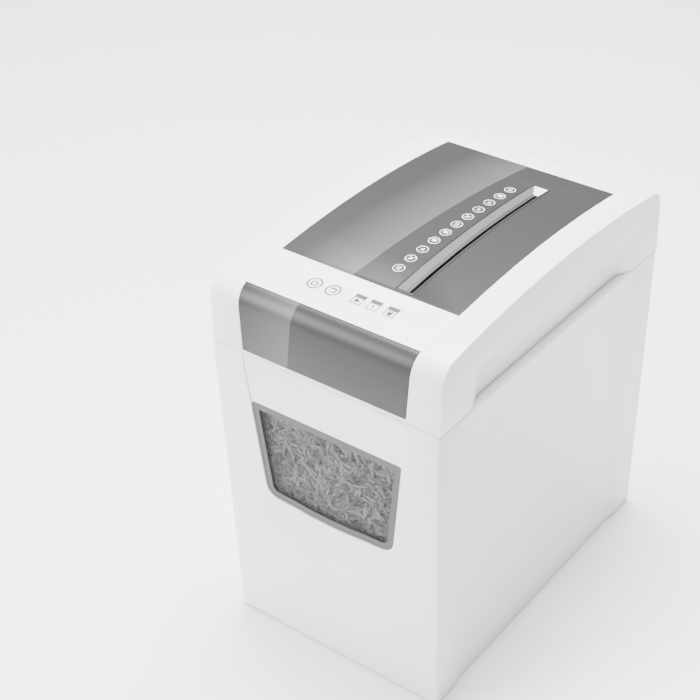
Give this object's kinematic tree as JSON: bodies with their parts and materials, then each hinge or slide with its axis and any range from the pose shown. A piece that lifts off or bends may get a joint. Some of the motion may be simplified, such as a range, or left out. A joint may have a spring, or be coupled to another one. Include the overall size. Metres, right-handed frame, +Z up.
{
  "type": "paper shredder",
  "caption": "Paper shredder: a lift-off shredding head with a top paper slot, touch controls and a motor-driven cutter pair, over a windowed waste bin.",
  "frame": {"origin": "on the floor, at the centre of the machine's footprint", "axes": "+Z up, +X to the right seen from the front, +Y towards the back wall with the cord inlet; the window faces -Y"},
  "size_m": [0.25, 0.374, 0.402],
  "materials": {
    "white_plastic": "satin moulded casing plastic",
    "grey_panel": "metallic grey satin",
    "window_border": "dark grey printed border",
    "clear_plastic": "tinted clear plastic",
    "lip_grey": "fine grained light grey",
    "rubber": "black",
    "steel": "machined",
    "dark_plastic": "black moulded",
    "nylon": "natural nylon",
    "copper": "enamelled copper winding",
    "board": "green circuit board",
    "brass": "sintered bearing"
  },
  "bodies": {
    "bin": {"bin_shell": "white_plastic", "foot_back_left": "rubber", "foot_back_right": "rubber", "foot_front_left": "rubber", "foot_front_right": "rubber", "window_frame": "window_border", "window_pane": "clear_plastic"},
    "cutter_a": {"cutter_shaft_a": "steel", "sync_gear_a": "steel", "drive_gear": "nylon"},
    "cutter_b": {"cutter_shaft_b": "steel", "sync_gear_b": "steel"},
    "idler": {"idler_gear": "nylon"},
    "armature": {"motor_armature": "copper", "motor_pinion": "steel", "motor_fan": "dark_plastic"},
    "power_key": {"power_button": "white_plastic"},
    "reverse_key": {"reverse_button": "white_plastic"},
    "interlock": {"interlock_plunger": "lip_grey"},
    "flap": {"sensor_flap": "dark_plastic"},
    "head": {"bearing_plate_back": "steel", "bearing_plate_front": "steel", "bush_back_a": "brass", "bush_back_b": "brass", "bush_front_a": "brass", "bush_front_b": "brass", "case_screw_1": "steel", "case_screw_2": "steel", "case_screw_3": "steel", "case_screw_4": "steel", "control_board": "board", "control_strip": "white_plastic", "cord_gland": "rubber", "field_coil_back": "copper", "field_coil_front": "copper", "front_plate": "grey_panel", "gearbox_cover": "dark_plastic", "head_cover": "white_plastic", "head_skirt": "white_plastic", "idler_pin": "steel", "interlock_switch": "dark_plastic", "main_board": "board", "motor_cap_back": "dark_plastic", "motor_cap_front": "dark_plastic", "motor_capacitor": "dark_plastic", "motor_cradle": "dark_plastic", "motor_stator": "steel", "paper_guide_left": "dark_plastic", "paper_guide_right": "dark_plastic", "power_switch": "dark_plastic", "reverse_switch": "dark_plastic", "slot_lip": "lip_grey", "status_lens_1": "lip_grey", "status_lens_2": "lip_grey", "status_lens_3": "lip_grey", "stripper_comb_a": "steel", "stripper_comb_b": "steel", "tie_bar_left": "steel", "tie_bar_right": "steel", "top_panel": "grey_panel"}
  },
  "joints": [
    {"name": "head_lift", "type": "slide", "parent": "bin", "child": "head", "axis": [0, 0, 1], "range_m": [0, 0.144]},
    {"name": "cutter_a_spin", "type": "hinge", "parent": "head", "child": "cutter_a", "pos_m": [0.023, 0, 0.322], "axis": [0, 1, 0], "continuous": true},
    {"name": "cutter_b_spin", "type": "hinge", "parent": "head", "child": "cutter_b", "pos_m": [0.059, 0, 0.322], "axis": [0, 1, 0], "continuous": true},
    {"name": "idler_spin", "type": "hinge", "parent": "head", "child": "idler", "pos_m": [-0.021, 0, 0.322], "axis": [0, 1, 0], "continuous": true},
    {"name": "motor_spin", "type": "hinge", "parent": "head", "child": "armature", "pos_m": [-0.054, 0, 0.322], "axis": [0, 1, 0], "continuous": true},
    {"name": "power_press", "type": "slide", "parent": "head", "child": "power_key", "axis": [0, 0.1298, -0.9915], "range_m": [0, 0.0006], "stiffness_N_per_m": 900},
    {"name": "reverse_press", "type": "slide", "parent": "head", "child": "reverse_key", "axis": [0, 0.1298, -0.9915], "range_m": [0, 0.0006], "stiffness_N_per_m": 900},
    {"name": "interlock_plunge", "type": "slide", "parent": "head", "child": "interlock", "axis": [0, 0, -1], "range_m": [0, 0.003]},
    {"name": "flap_swing", "type": "hinge", "parent": "head", "child": "flap", "pos_m": [0.0514, -0.03, 0.372], "axis": [0, 1, 0], "range_deg": [-55, 0], "stiffness_Nm_per_rad": 0.004}
  ],
  "couplings": [
    {"joint": "cutter_b_spin", "follows": "cutter_a_spin", "ratio": -1},
    {"joint": "idler_spin", "follows": "cutter_a_spin", "ratio": -3.4},
    {"joint": "motor_spin", "follows": "cutter_a_spin", "ratio": 11.56},
    {"joint": "interlock_plunge", "follows": "head_lift", "ratio": 0.02}
  ]
}
